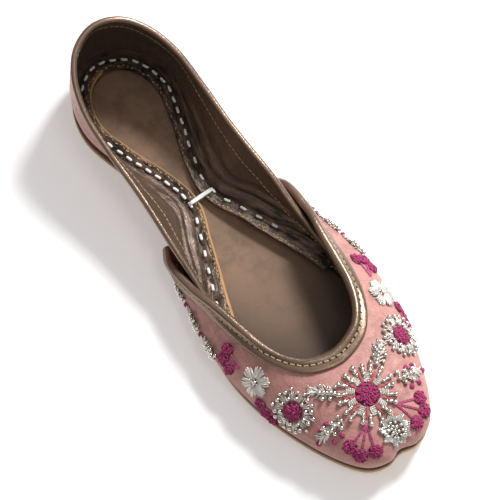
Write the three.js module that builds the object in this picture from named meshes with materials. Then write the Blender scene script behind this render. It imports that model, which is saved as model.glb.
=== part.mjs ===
// A mojari: a flat slip-on shoe with a straight last, made alike for either foot.
// A flat leather sole carries a leather insole. The satin vamp covers the forefoot and
// runs back in two wings. The leather quarter goes round the heel, and its two front ends
// are tucked inside the wings. Both have their lower margin turned in and stitched down
// over the insole, and both have a rolled leather binding along the top edge.
//
// Millimetres. +X to the toe, +Y to the wearer's left, +Z up, floor at Z = 0.

import * as THREE from "three";
import { mergeVertices } from "three/addons/utils/BufferGeometryUtils.js";

// Driving dimensions
const SOLE_THICKNESS = 4.5;
const INSOLE_THICKNESS = 1.2;
const VAMP_THICKNESS = 2.0;
const QUARTER_THICKNESS = 1.8;
const GAP = 0.3; // between two pieces that meet
const SEAM_SET_IN = 0.5; // upper's foot line inside the sole's edge
const INSOLE_SET_IN = 9.0; // insole's edge inside the sole's edge
const BEND_RADIUS = 2.6; // where a wall turns in under itself
const EDGE_RISE = 0.4; // a margin's inner edge stands off what it lies on
const TOE_SPRING = 4.6; // rise of the sole's tip
const SPRING_START = 80; // x where the sole starts to rise
const SPRING_LENGTH = 42;
const CENTRE_X = 0.8; // the tables' x that stands over the frame's origin

// Steps between two rows of a table, and points up one rib
const STEPS_PER_ROW = 3;
const WALL_POINTS = 7;
const BEND_POINTS = 3;

// Turns a table's rows into objects with named columns.
function table(columns, rows) {
  return rows.map((row) =>
    Object.fromEntries(columns.map((column, i) => [column, row[i]])),
  );
}

// Half the sole's outline, from the middle of the heel to the notch in the toe.
const OUTLINE = table(
  ["station", "x", "y"],
  [
    ["heel back", -119.0, 0],
    ["heel turn", -114.8, 13.0],
    ["heel corner", -104.0, 22.0],
    ["heel", -88.0, 25.5],
    ["heel front", -68.0, 21.5],
    ["arch back", -50.0, 15.5],
    ["waist", -34.0, 13.0],
    ["arch front", -18.5, 18.5],
    ["wing", -5.0, 25.0],
    ["joint back", 10.0, 32.5],
    ["joint", 26.0, 38.5],
    ["ball", 46.0, 41.2],
    ["little toe", 68.0, 38.8],
    ["toe side", 89.0, 32.6],
    ["toe taper", 107.0, 25.0],
    ["toe corner", 118.4, 17.2],
    ["toe lobe", 122.2, 8.2],
    ["toe notch", 120.6, 0],
  ],
);
const TOE = OUTLINE.length - 1;

// The vamp, from the tip of a wing to the middle of the toe. collar is the top edge of the
// wall; out and rise lead the wall up from the sole, reach and fall lead it to the collar.
const VAMP_FIRST = 7; // its first row stands at the station "arch front"
const VAMP = table(
  ["row", "x", "y", "z", "out", "rise", "reach", "fall", "stitch", "flap"],
  [
    ["wing tip", -22.0, 28.1, 11.5, 5.0, 1.5, 2.0, 2.5, 5.0, 2.0],
    ["wing end", -12.0, 33.6, 18.5, 9.0, 3.0, 1.0, 6.0, 5.0, 3.0],
    ["wing", 4.0, 33.6, 23.8, 11.0, 5.0, -2.0, 8.0, 5.5, 5.0],
    ["wing front", 18.0, 31.3, 27.5, 9.5, 8.0, 1.0, 7.0, 6.0, 5.0],
    ["ball", 34.0, 28.8, 30.5, 7.5, 10.0, 6.0, 6.0, 6.0, 5.0],
    ["little toe", 47.5, 26.0, 32.5, 7.0, 11.0, 9.0, 4.0, 6.0, 5.0],
    ["throat side", 58.5, 21.5, 33.5, 8.0, 12.0, 14.0, 3.0, 6.0, 5.0],
    ["throat turn", 66.0, 15.5, 34.0, 8.5, 12.0, 20.0, 3.0, 6.0, 5.0],
    ["throat front", 69.5, 9.0, 34.2, 8.5, 12.0, 25.0, 3.0, 6.0, 5.0],
    ["toe lobe", 71.0, 4.0, 34.3, 8.0, 13.0, 27.0, 3.0, 6.0, 5.0],
    ["toe middle", 71.5, 0, 34.4, 7.0, 13.0, 27.0, 3.0, 6.0, 5.0],
  ],
);

// The quarter, from the middle of the heel to a front end inside the vamp's wing. lift
// raises its foot on to the vamp's margin, and step takes its own margin over the insole.
const QUARTER = table(
  [
    "row",
    "x",
    "y",
    "z",
    "out",
    "rise",
    "reach",
    "fall",
    "stitch",
    "flap",
    "lift",
    "step",
    "setIn",
  ],
  [
    ["heel back", -118.0, 0, 54.5, 4, 18, 2, 15, 4.5, 3.5, 0, 1.7, 0],
    ["heel turn", -113.5, 13.0, 53.0, 4, 18, 1, 15, 4.5, 3.5, 0, 1.7, 0.4],
    ["heel corner", -102.5, 22.0, 49.0, 5, 17, 1, 14, 4.5, 3.5, 0, 1.7, 1.0],
    ["heel", -86.5, 27.0, 44.0, 6, 15, 0, 12, 4.5, 3.5, 0, 1.7, 1.6],
    ["heel front", -67.0, 27.6, 38.0, 7, 10, 3, 11, 4.5, 3.5, 0, 1.7, 2.4],
    ["arch back", -49.0, 27.2, 34.0, 8, 6, 6, 11, 4.5, 3.5, 0, 1.7, 2.8],
    ["waist", -32.5, 27.6, 31.0, 8, 4, 8, 10, 4.5, 3.5, 1.6, 1.1, 3.0],
    ["arch front", -17.0, 28.8, 28.0, 8, 4, 5, 9, 4.5, 4.0, 4.5, 0.3, 2.2],
    ["wing", -2.0, 29.4, 23.6, 6, 5, 2, 8, 4.5, 5.0, 4.5, 0.3, 2.6],
    ["wing front", 11.0, 30.4, 19.0, 3, 4, 1, 5, 5.0, 5.5, 4.5, 0.3, 3.0],
    ["front end", 25.0, 32.0, 15.0, 2, 3, 0.5, 3, 5.0, 6.0, 4.5, 0.3, 3.4],
  ],
);

// A binding's section. a is the distance outside the wall's outer face, b the distance
// down that face from the top edge. The vamp's has a flat flange outside and a roll over
// the edge; the quarter's is a thin roll alone.
const VAMP_BINDING = table(
  ["point", "a", "b"],
  [
    ["flange foot, outside", 1.2, 5.4],
    ["flange foot, inside", 0.4, 5.4],
    ["flange back, low", 0.4, 3.6],
    ["flange back, high", 0.4, 1.8],
    ["flange root", 0.4, -0.4],
    ["roll, underside", -2.2, -0.4],
    ["roll, inside", -2.6, -1.4],
    ["roll, inside top", -2.0, -2.6],
    ["roll, top", -0.9, -3.1],
    ["roll, outside top", 0.4, -2.8],
    ["roll, outside", 1.3, -1.9],
    ["roll, outside low", 1.5, -0.8],
    ["groove", 0.9, 0.5],
    ["flange shoulder", 1.2, 1.3],
    ["flange face", 1.3, 3.4],
  ],
);
const QUARTER_BINDING = table(
  ["point", "a", "b"],
  [
    ["underside, outside", 0.5, -0.3],
    ["underside, inside", -2.3, -0.3],
    ["inside", -2.6, -1.2],
    ["inside top", -2.0, -2.2],
    ["top", -0.9, -2.6],
    ["outside top", 0.2, -2.2],
    ["outside", 0.8, -1.2],
  ],
);

const COLOURS = {
  sole: 0xc98d43,
  insole: 0x8a6f60,
  satin: 0xd79c96,
  quarter: 0x6f5a4c,
  binding: 0x9a8272,
};

// Catmull-Rom value of one column at t, where row() gives any row by its number.
function splineValue(row, column, t) {
  const i = Math.floor(t);
  const [p0, p1, p2, p3] = [-1, 0, 1, 2].map((k) => row(i + k)[column]);
  const f = t - i;
  const slope1 = (p2 - p0) / 2;
  const slope2 = (p3 - p1) / 2;
  const f2 = f * f;
  const f3 = f2 * f;
  return (
    (2 * f3 - 3 * f2 + 1) * p1 +
    (f3 - 2 * f2 + f) * slope1 +
    (3 * f2 - 2 * f3) * p2 +
    (f3 - f2) * slope2
  );
}

const mirrored = (row) => ({ ...row, y: -row.y });

// Rows of the whole outline, which goes on round through the mirrored half.
function outlineRow(i) {
  const around = ((i % (2 * TOE)) + 2 * TOE) % (2 * TOE);
  return around <= TOE ? OUTLINE[around] : mirrored(OUTLINE[2 * TOE - around]);
}

// Rows of a piece's table by their place round the outline. middle is the place of its
// mirror line, and end the number of rows that it reaches on either side of it.
function pieceRow(rows, middle, end, i) {
  const away = Math.abs(i - middle);
  const found = (n) => (middle === 0 ? rows[n] : rows[rows.length - 1 - n]);
  if (away <= end) {
    return i >= middle === (middle === 0) || i === middle
      ? found(away)
      : mirrored(found(away));
  }
  const last = found(end);
  const before = found(end - 1);
  const past = Object.fromEntries(
    Object.keys(last).map((key) => [key, 2 * last[key] - before[key]]),
  );
  return i >= middle === (middle === 0) ? past : mirrored(past);
}

// The sole rises towards the toe.
function springAt(x) {
  const along = Math.max(0, (x - SPRING_START) / SPRING_LENGTH);
  return TOE_SPRING * along * along;
}

// The point of the outline at t, moved in by a distance, with the inward direction.
function outlinePoint(t, setIn) {
  const at = (s) =>
    new THREE.Vector2(
      splineValue(outlineRow, "x", s),
      splineValue(outlineRow, "y", s),
    );
  const delta = 0.01;
  const tangent = at(t + delta).sub(at(t - delta)).normalize();
  const inward = new THREE.Vector2(tangent.y, -tangent.x);
  return { point: at(t).addScaledVector(inward, setIn), inward };
}

// The outer face of one rib, from the edge of the turned-in margin, round the bend and
// up the wall to the top edge.
function ribPoints(values, t, base) {
  const { point, inward } = outlinePoint(t, SEAM_SET_IN + (values.setIn ?? 0));
  const lift = values.lift ?? 0;
  const step = values.step ?? 1.7;
  const place = (inside, up) => {
    const x = point.x + inward.x * inside;
    const y = point.y + inward.y * inside;
    return new THREE.Vector3(x, y, base + lift + up + springAt(x));
  };
  const points = [
    place(values.stitch + values.flap, step + EDGE_RISE),
    place(values.stitch, step),
    place(Math.min(values.stitch - 0.4, BEND_RADIUS + 2.4), step),
  ];
  for (let k = 0; k <= BEND_POINTS; k += 1) {
    const angle = (Math.PI / 2) * (k / BEND_POINTS);
    points.push(
      place(
        BEND_RADIUS * (1 - Math.sin(angle)),
        BEND_RADIUS * (1 - Math.cos(angle)),
      ),
    );
  }
  const foot = points.pop();
  const collar = new THREE.Vector3(values.x, values.y, values.z);
  const toFoot = new THREE.Vector2(foot.x - collar.x, foot.y - collar.y);
  toFoot.normalize();
  const wall = new THREE.CubicBezierCurve3(
    foot,
    place(-values.out, BEND_RADIUS + values.rise),
    new THREE.Vector3(
      collar.x + toFoot.x * values.reach,
      collar.y + toFoot.y * values.reach,
      collar.z - values.fall,
    ),
    collar,
  );
  points.push(...wall.getPoints(WALL_POINTS));
  return points;
}

// The grid of a piece's outer face: one rib for each step round the outline.
function ribGrid(rows, middle, end, columns, base) {
  const grid = [];
  const row = (i) => pieceRow(rows, middle, end, i);
  for (let k = -end * STEPS_PER_ROW; k <= end * STEPS_PER_ROW; k += 1) {
    const t = middle + k / STEPS_PER_ROW;
    const values = Object.fromEntries(
      columns.map((column) => [column, splineValue(row, column, t)]),
    );
    grid.push(ribPoints(values, t, base));
  }
  return grid;
}

// Outward normals of a grid, from the differences between neighbouring points.
function gridNormals(grid) {
  const clamp = (value, top) => Math.min(Math.max(value, 0), top);
  return grid.map((rib, i) =>
    rib.map((_, j) => {
      const along = grid[clamp(i + 1, grid.length - 1)][j]
        .clone()
        .sub(grid[clamp(i - 1, grid.length - 1)][j]);
      const up = rib[clamp(j + 1, rib.length - 1)]
        .clone()
        .sub(rib[clamp(j - 1, rib.length - 1)]);
      return up.cross(along).normalize();
    }),
  );
}

// A closed geometry from triangles of points: shared points are merged, and triangles
// that have collapsed to a line are left out.
function closedGeometry(triangles) {
  const loose = new THREE.BufferGeometry().setFromPoints(triangles.flat());
  const merged = mergeVertices(loose, 1e-3);
  const index = merged.index.array;
  const kept = [];
  for (let i = 0; i < index.length; i += 3) {
    const [a, b, c] = index.slice(i, i + 3);
    if (a !== b && b !== c && c !== a) kept.push(a, b, c);
  }
  merged.setIndex(kept);
  merged.computeVertexNormals();
  return merged;
}

const quad = (a, b, c, d) => [
  [a, b, c],
  [a, c, d],
];

// A sheet of even thickness behind a grid of points, closed round its edges.
function sheetSolid(grid, thickness) {
  const normals = gridNormals(grid);
  const inner = grid.map((rib, i) =>
    rib.map((point, j) => point.clone().addScaledVector(normals[i][j], -thickness)),
  );
  const triangles = [];
  const lastRib = grid.length - 1;
  const lastPoint = grid[0].length - 1;
  for (let i = 0; i < lastRib; i += 1) {
    for (let j = 0; j < lastPoint; j += 1) {
      triangles.push(
        ...quad(grid[i][j], grid[i][j + 1], grid[i + 1][j + 1], grid[i + 1][j]),
        ...quad(inner[i][j], inner[i + 1][j], inner[i + 1][j + 1], inner[i][j + 1]),
      );
    }
    triangles.push(
      ...quad(grid[i][0], grid[i + 1][0], inner[i + 1][0], inner[i][0]),
      ...quad(
        grid[i][lastPoint],
        inner[i][lastPoint],
        inner[i + 1][lastPoint],
        grid[i + 1][lastPoint],
      ),
    );
  }
  for (let j = 0; j < lastPoint; j += 1) {
    triangles.push(
      ...quad(grid[0][j], inner[0][j], inner[0][j + 1], grid[0][j + 1]),
      ...quad(
        grid[lastRib][j],
        grid[lastRib][j + 1],
        inner[lastRib][j + 1],
        inner[lastRib][j],
      ),
    );
  }
  return closedGeometry(triangles);
}

// The place on a rib that is a distance down its face from the top edge. A distance below
// zero leads on above the edge.
function placeDownFace(rib, normals, distance) {
  const top = rib.length - 1;
  let left = distance;
  let j = top;
  while (j > 1 && left > rib[j].distanceTo(rib[j - 1])) {
    left -= rib[j].distanceTo(rib[j - 1]);
    j -= 1;
  }
  const share = left / rib[j].distanceTo(rib[j - 1]);
  return {
    point: rib[j].clone().lerp(rib[j - 1], share),
    normal: normals[j].clone().lerp(normals[j - 1], Math.max(share, 0)).normalize(),
  };
}

// A binding's section swept along the top edge of a grid.
function bindingSolid(grid, section) {
  const normals = gridNormals(grid);
  const rings = grid.map((rib, i) =>
    section.map(({ a, b }) => {
      const { point, normal } = placeDownFace(rib, normals[i], b);
      return point.addScaledVector(normal, a);
    }),
  );
  const count = section.length;
  const triangles = [];
  for (let i = 0; i < rings.length - 1; i += 1) {
    for (let j = 0; j < count; j += 1) {
      const next = (j + 1) % count;
      triangles.push(
        ...quad(rings[i][j], rings[i + 1][j], rings[i + 1][next], rings[i][next]),
      );
    }
  }
  const flat = section.map(({ a, b }) => new THREE.Vector2(a, b));
  for (const [a, b, c] of THREE.ShapeUtils.triangulateShape(flat, [])) {
    const first = rings[0];
    const last = rings[rings.length - 1];
    triangles.push([first[a], first[b], first[c]], [last[a], last[c], last[b]]);
  }
  return closedGeometry(triangles);
}

// A plate that follows the sole's outline, between two heights above the sole's underside.
function plateSolid(setIn, bottom, top) {
  const steps = 2 * TOE * STEPS_PER_ROW;
  const spineEnd = 98; // the plate's middle line runs between these two ends
  const shares = [0, 0.7, 1];
  const columns = [];
  for (let k = 0; k < steps; k += 1) {
    const { point } = outlinePoint(k / STEPS_PER_ROW, setIn);
    const spineX = THREE.MathUtils.clamp(point.x, -spineEnd, spineEnd);
    columns.push(
      shares.map((share) => {
        const x = THREE.MathUtils.lerp(spineX, point.x, share);
        return new THREE.Vector3(x, point.y * share, springAt(x));
      }),
    );
  }
  const raised = (point, up) => point.clone().setZ(point.z + up);
  const triangles = [];
  for (let k = 0; k < steps; k += 1) {
    const here = columns[k];
    const next = columns[(k + 1) % steps];
    for (let s = 0; s < shares.length - 1; s += 1) {
      const ring = [here[s], here[s + 1], next[s + 1], next[s]];
      const [a, b, c, d] = ring.map((point) => raised(point, bottom));
      const [e, f, g, h] = ring.map((point) => raised(point, top));
      triangles.push(...quad(a, b, c, d), ...quad(e, h, g, f));
    }
    const [near, far] = [here[shares.length - 1], next[shares.length - 1]];
    triangles.push(
      ...quad(
        raised(near, bottom),
        raised(near, top),
        raised(far, top),
        raised(far, bottom),
      ),
    );
  }
  return closedGeometry(triangles);
}

function piece(name, geometry, color, roughness, metalness) {
  const material = new THREE.MeshStandardMaterial({ color, roughness, metalness });
  const mesh = new THREE.Mesh(geometry, material);
  mesh.name = name;
  mesh.position.x = -CENTRE_X;
  return mesh;
}

const soleTop = SOLE_THICKNESS + GAP;
const wallColumns = ["x", "y", "z", "out", "rise", "reach", "fall", "stitch", "flap"];
const vampGrid = ribGrid(VAMP, TOE, TOE - VAMP_FIRST, wallColumns, soleTop);
const quarterGrid = ribGrid(
  QUARTER,
  0,
  QUARTER.length - 1,
  [...wallColumns, "lift", "step", "setIn"],
  soleTop,
);

const mojari = new THREE.Group();
mojari.add(
  piece("outsole", plateSolid(0, 0, SOLE_THICKNESS), COLOURS.sole, 0.6, 0),
  piece(
    "insole",
    plateSolid(INSOLE_SET_IN, soleTop, soleTop + INSOLE_THICKNESS),
    COLOURS.insole,
    0.5,
    0.15,
  ),
  piece("vamp", sheetSolid(vampGrid, VAMP_THICKNESS), COLOURS.satin, 0.5, 0),
  piece(
    "vamp_binding",
    bindingSolid(vampGrid, VAMP_BINDING),
    COLOURS.binding,
    0.4,
    0.3,
  ),
  piece(
    "quarter",
    sheetSolid(quarterGrid, QUARTER_THICKNESS),
    COLOURS.quarter,
    0.45,
    0.25,
  ),
  piece(
    "quarter_binding",
    bindingSolid(quarterGrid, QUARTER_BINDING),
    COLOURS.binding,
    0.4,
    0.3,
  ),
);

export default mojari;
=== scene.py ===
"""A mojari: a flat slip-on shoe in satin and leather, stitched by hand and worked with
beads, wire and knots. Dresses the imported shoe, which gives the shapes, in its looks."""

import math
import random

import bpy
import numpy as np
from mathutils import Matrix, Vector
from mathutils.bvhtree import BVHTree


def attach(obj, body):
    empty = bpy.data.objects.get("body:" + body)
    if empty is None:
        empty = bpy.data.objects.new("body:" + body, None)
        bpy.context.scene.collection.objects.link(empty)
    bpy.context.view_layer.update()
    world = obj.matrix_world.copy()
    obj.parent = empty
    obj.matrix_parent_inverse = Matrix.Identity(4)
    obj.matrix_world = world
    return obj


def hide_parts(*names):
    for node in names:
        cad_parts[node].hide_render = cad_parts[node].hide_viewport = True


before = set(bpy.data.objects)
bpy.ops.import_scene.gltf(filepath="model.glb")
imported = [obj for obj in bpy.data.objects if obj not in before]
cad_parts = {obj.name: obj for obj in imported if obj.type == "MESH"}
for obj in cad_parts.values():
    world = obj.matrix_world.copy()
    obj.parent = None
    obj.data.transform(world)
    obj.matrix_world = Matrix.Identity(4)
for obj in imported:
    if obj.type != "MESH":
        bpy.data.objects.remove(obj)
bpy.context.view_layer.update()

bl_info = {
    "name": "Mojari shoe",
    "version": (1, 0, 0),
    "blender": (4, 5, 0),
    "location": "View3D > Sidebar > Mojari",
    "description": "Satin, leather, stitching and bead embroidery of a mojari shoe",
    "category": "Object",
}

# The shoe's own sizes, in millimetres as in its source
SOLE_THICKNESS = 4.5
INSOLE_THICKNESS = 1.2
VAMP_THICKNESS = 2.0
QUARTER_THICKNESS = 1.8
GAP = 0.3
SEAM_SET_IN = 0.5
INSOLE_SET_IN = 9.0
BEND_RADIUS = 2.6
EDGE_RISE = 0.4
TOE_SPRING = 4.6
SPRING_START = 80
SPRING_LENGTH = 42
CENTRE_X = 0.8
SOLE_TOP = SOLE_THICKNESS + GAP
MM = 0.001

# Half the sole's outline from the heel's middle to the toe's notch: x, y
OUTLINE = np.array([
    (-119.0, 0), (-114.8, 13.0), (-104.0, 22.0), (-88.0, 25.5), (-68.0, 21.5), (-50.0, 15.5),
    (-34.0, 13.0), (-18.5, 18.5), (-5.0, 25.0), (10.0, 32.5), (26.0, 38.5), (46.0, 41.2),
    (68.0, 38.8), (89.0, 32.6), (107.0, 25.0), (118.4, 17.2), (122.2, 8.2), (120.6, 0),
])
TOE = len(OUTLINE) - 1

# One row for each rib: x, y, z, out, rise, reach, fall, stitch, flap, lift, step, set_in
X, Y, Z, OUT, RISE, REACH, FALL, STITCH, FLAP, LIFT, STEP, SET_IN = range(12)
VAMP_FIRST = 7  # the outline's point beside a wing's end
VAMP = np.array([
    (-22.0, 28.1, 11.5, 5.0, 1.5, 2.0, 2.5, 5.0, 2.0, 0, 1.7, 0),
    (-12.0, 33.6, 18.5, 9.0, 3.0, 1.0, 6.0, 5.0, 3.0, 0, 1.7, 0),
    (4.0, 33.6, 23.8, 11.0, 5.0, -2.0, 8.0, 5.5, 5.0, 0, 1.7, 0),
    (18.0, 31.3, 27.5, 9.5, 8.0, 1.0, 7.0, 6.0, 5.0, 0, 1.7, 0),
    (34.0, 28.8, 30.5, 7.5, 10.0, 6.0, 6.0, 6.0, 5.0, 0, 1.7, 0),
    (47.5, 26.0, 32.5, 7.0, 11.0, 9.0, 4.0, 6.0, 5.0, 0, 1.7, 0),
    (58.5, 21.5, 33.5, 8.0, 12.0, 14.0, 3.0, 6.0, 5.0, 0, 1.7, 0),
    (66.0, 15.5, 34.0, 8.5, 12.0, 20.0, 3.0, 6.0, 5.0, 0, 1.7, 0),
    (69.5, 9.0, 34.2, 8.5, 12.0, 25.0, 3.0, 6.0, 5.0, 0, 1.7, 0),
    (71.0, 4.0, 34.3, 8.0, 13.0, 27.0, 3.0, 6.0, 5.0, 0, 1.7, 0),
    (71.5, 0, 34.4, 7.0, 13.0, 27.0, 3.0, 6.0, 5.0, 0, 1.7, 0),
])
QUARTER = np.array([
    (-118.0, 0, 54.5, 4, 18, 2, 15, 4.5, 3.5, 0, 1.7, 0),
    (-113.5, 13.0, 53.0, 4, 18, 1, 15, 4.5, 3.5, 0, 1.7, 0.4),
    (-102.5, 22.0, 49.0, 5, 17, 1, 14, 4.5, 3.5, 0, 1.7, 1.0),
    (-86.5, 27.0, 44.0, 6, 15, 0, 12, 4.5, 3.5, 0, 1.7, 1.6),
    (-67.0, 27.6, 38.0, 7, 10, 3, 11, 4.5, 3.5, 0, 1.7, 2.4),
    (-49.0, 27.2, 34.0, 8, 6, 6, 11, 4.5, 3.5, 0, 1.7, 2.8),
    (-32.5, 27.6, 31.0, 8, 4, 8, 10, 4.5, 3.5, 1.6, 1.1, 3.0),
    (-17.0, 28.8, 28.0, 8, 4, 5, 9, 4.5, 4.0, 4.5, 0.3, 2.2),
    (-2.0, 29.4, 23.6, 6, 5, 2, 8, 4.5, 5.0, 4.5, 0.3, 2.6),
    (11.0, 30.4, 19.0, 3, 4, 1, 5, 5.0, 5.5, 4.5, 0.3, 3.0),
    (25.0, 32.0, 15.0, 2, 3, 0.5, 3, 5.0, 6.0, 4.5, 0.3, 3.4),
])

# Share of a margin's inner face that is pared away, past a sheet's middle and before it
SKIVE_VAMP = (0.08, 0.0)
SKIVE_QUARTER = (0.0, 0.20)

# A binding's section: distance outside the wall's face, distance down it from its edge
VAMP_BINDING = np.array([
    (1.2, 5.4), (0.4, 5.4), (0.4, 3.6), (0.4, 1.8), (0.4, -0.4), (-2.2, -0.4), (-2.6, -1.4),
    (-2.0, -2.6), (-0.9, -3.1), (0.4, -2.8), (1.4, -1.9), (1.8, -0.4), (0.9, 1.5), (1.3, 2.3),
    (1.4, 4.2),
])
GROOVE = 12  # the point of that section in the stitched groove
TUCKED = 5  # the point of that section where its UV map may be cut unseen
QUARTER_BINDING = np.array([
    (0.5, -0.3), (-2.3, -0.3), (-2.6, -1.2), (-2.0, -2.2), (-0.9, -2.6), (0.2, -2.2),
    (0.8, -1.2),
])

# Steps between two ribs of the finished sheets, and points up one rib
STEPS = 12
FLAP_POINTS = 6
BEND_POINTS = 6
WALL_POINTS = 34
TURN_SHARES = (0.0, 0.33, 0.67)
SEAM = FLAP_POINTS + 1  # index of the point where a margin is stitched down
FOOT = SEAM + len(TURN_SHARES) + BEND_POINTS  # index of the point where the wall starts

# Creases pressed into the leather quarter and the satin vamp by wear: the rib and the
# height above the bend where each starts and ends, its width, its depth, its sway
RIB_PITCH = 14.0  # about the distance between two ribs
QUARTER_CREASES = (
    (2.6, 5.0, 5.9, 2.6, 1.6, 0.9, 0.6), (3.4, 9.5, 6.2, 5.0, 1.9, -0.9, 0.8),
    (4.0, 13.0, 6.6, 7.2, 1.7, 0.8, -0.6), (4.8, 17.5, 6.9, 9.8, 1.8, -0.6, 0.7),
    (5.9, 3.0, 8.9, 4.2, 1.5, 0.9, 0.5), (6.1, 6.2, 8.6, 7.4, 1.6, -0.8, -0.6),
    (6.2, 9.2, 8.2, 10.6, 1.5, 0.6, 0.5), (6.4, 13.0, 7.8, 14.0, 1.9, -0.5, 0.4),
    (5.4, 12.0, 5.1, 24.0, 2.2, 0.6, 0.6), (5.9, 12.5, 6.1, 22.0, 1.9, -0.5, -0.5),
    (0.6, 6.0, 2.4, 7.0, 2.6, 0.5, 0.6), (1.2, 16.0, 2.6, 13.0, 3.2, -0.5, 0.6),
    (0.3, 28.0, 1.6, 26.0, 4.0, 0.5, 0.4), (2.6, 22.0, 3.9, 17.0, 3.0, 0.5, -0.5),
    (4.4, 8.0, 5.4, 5.4, 1.1, 0.5, 0.3), (7.2, 4.6, 8.8, 6.0, 1.0, -0.45, 0.3),
)
VAMP_CREASES = (
    (16.2, 26.0, 17.0, 27.5, 3.0, 0.35, 0.5), (14.4, 24.0, 15.6, 27.0, 2.4, -0.3, 0.5),
    (12.6, 15.0, 13.6, 13.0, 2.4, 0.3, 0.5), (11.0, 10.0, 12.4, 9.0, 2.2, -0.3, 0.4),
    (9.2, 8.0, 10.6, 8.6, 2.0, 0.3, -0.4), (8.0, 9.0, 9.2, 7.0, 1.8, -0.35, 0.4),
    (16.5, 6.0, 17.5, 6.0, 3.4, -0.8, 0.0), (16.85, 2.0, 17.15, 12.0, 2.4, -0.7, 0.0),
    (15.8, 5.0, 16.6, 4.0, 2.0, 0.35, 0.3),
)

# The hand-sewn seam at the foot of the walls
CLOSE_PITCH, WIDE_PITCH = 6.0, 9.4  # from stitch to stitch round the heel, and elsewhere
HEEL_SHARE = 0.56  # of the quarter's seam
DENT_LENGTH, DENT_WIDTH, DENT = 2.6, 2.0, 1.3  # what a stitch presses into the leather
PUCKER_PITCH, PUCKER_WIDTH, PUCKER = 3.1, 3.0, 0.9  # the leather gathered between
TIE_X = -33.0  # where the thread tie crosses the waist


def size_property(name, description, default):
    return bpy.props.FloatProperty(
        name=name, description=description, default=default, unit="LENGTH", precision=4
    )


class MojariSizes(bpy.types.PropertyGroup):
    """Sizes of what is sewn on to the shoe"""

    bead: size_property("Round bead", "Diameter of a round metal bead", 0.0022)
    bugle: size_property("Bugle bead", "Length of a tube bead", 0.0025)
    wire: size_property("Coiled wire", "Diameter of the silver wire laid in bundles", 0.0009)
    knot: size_property("Knot", "Diameter of one looped thread knot", 0.0019)
    stem: size_property("Laid thread", "Width of one strand in a stem or spoke", 0.00075)
    cotton: size_property("Cotton stitch", "Thickness of the white hand stitches", 0.0014)
    machine_pitch: size_property(
        "Machine stitch pitch", "From one machine stitch of the bindings to the next", 0.0032
    )


def colour_property(name, description, default):
    return bpy.props.FloatVectorProperty(
        name=name, description=description, default=default, subtype="COLOR", size=3,
        min=0.0, max=1.0,
    )


class MojariColours(bpy.types.PropertyGroup):
    """Colours of the shoe's materials"""

    satin: colour_property("Satin", "Dusty pink satin", (0.66, 0.322, 0.282))
    leather: colour_property("Bronze leather", "Inside", (0.128, 0.082, 0.058))
    binding: colour_property("Binding", "Bound edges", (0.215, 0.142, 0.100))
    insole: colour_property("Insole", "Smooth bronze leather", (0.232, 0.142, 0.090))
    sole: colour_property("Sole", "Vegetable-tanned sole leather", (0.60, 0.33, 0.12))
    raw: colour_property("Raw edge", "Cut edge of the leather", (0.50, 0.27, 0.10))
    magenta: colour_property("Magenta", "Knotted thread", (0.42, 0.035, 0.150))
    coral: colour_property("Coral", "Laid thread", (0.52, 0.12, 0.12))
    silver: colour_property("Silver", "Wire and metal beads", (0.87, 0.82, 0.755))
    cotton: colour_property("Cotton", "White thread", (0.78, 0.76, 0.73))
    tan: colour_property("Tan", "Machine thread", (0.60, 0.42, 0.23))


# The shoe's shapes, in millimetres


def unit(vectors):
    """Vectors made one long."""
    if vectors.ndim == 1:
        return vectors / np.linalg.norm(vectors)
    return vectors / np.linalg.norm(vectors, axis=-1, keepdims=True)


def spline(rows, place):
    """Rows of a table between its own rows; rows[0] stands one step before place 0."""
    i = np.clip(np.floor(place).astype(int), 0, len(rows) - 4)
    f = (place - i)[:, None]
    before, here, there, after = (rows[i + k] for k in range(4))
    leaving, arriving = (there - before) / 2, (after - here) / 2
    return (
        (2 * f**3 - 3 * f**2 + 1) * here
        + (f**3 - 2 * f**2 + f) * leaving
        + (3 * f**2 - 2 * f**3) * there
        + (f**3 - f**2) * arriving
    )


def mirrored(rows):
    """The same rows on the shoe's other side."""
    other = rows.copy()
    other[:, Y] *= -1
    return other


def outline(t, set_in):
    """The sole's outline at t, moved in, and the direction inwards."""
    loop = np.vstack([OUTLINE, mirrored(OUTLINE)[-2:0:-1]])
    around = np.vstack([loop[-1:], loop, loop[:3]])

    def at(s):
        return spline(around, np.mod(s, len(loop)))

    tangent = unit(at(t + 0.01) - at(t - 0.01))
    inward = np.stack([tangent[:, 1], -tangent[:, 0]], axis=1)
    return at(t) + inward * np.reshape(set_in, (-1, 1)), inward


def spring(x):
    """The rise of the sole towards the toe."""
    return TOE_SPRING * (np.maximum(0, x - SPRING_START) / SPRING_LENGTH) ** 2


def in_frame(points):
    """Points of the tables in the frame, in metres."""
    return (points - np.array([CENTRE_X, 0, 0])) * MM


def in_metres(size):
    """A length, width and height in metres."""
    return tuple(s * MM for s in size)


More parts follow.
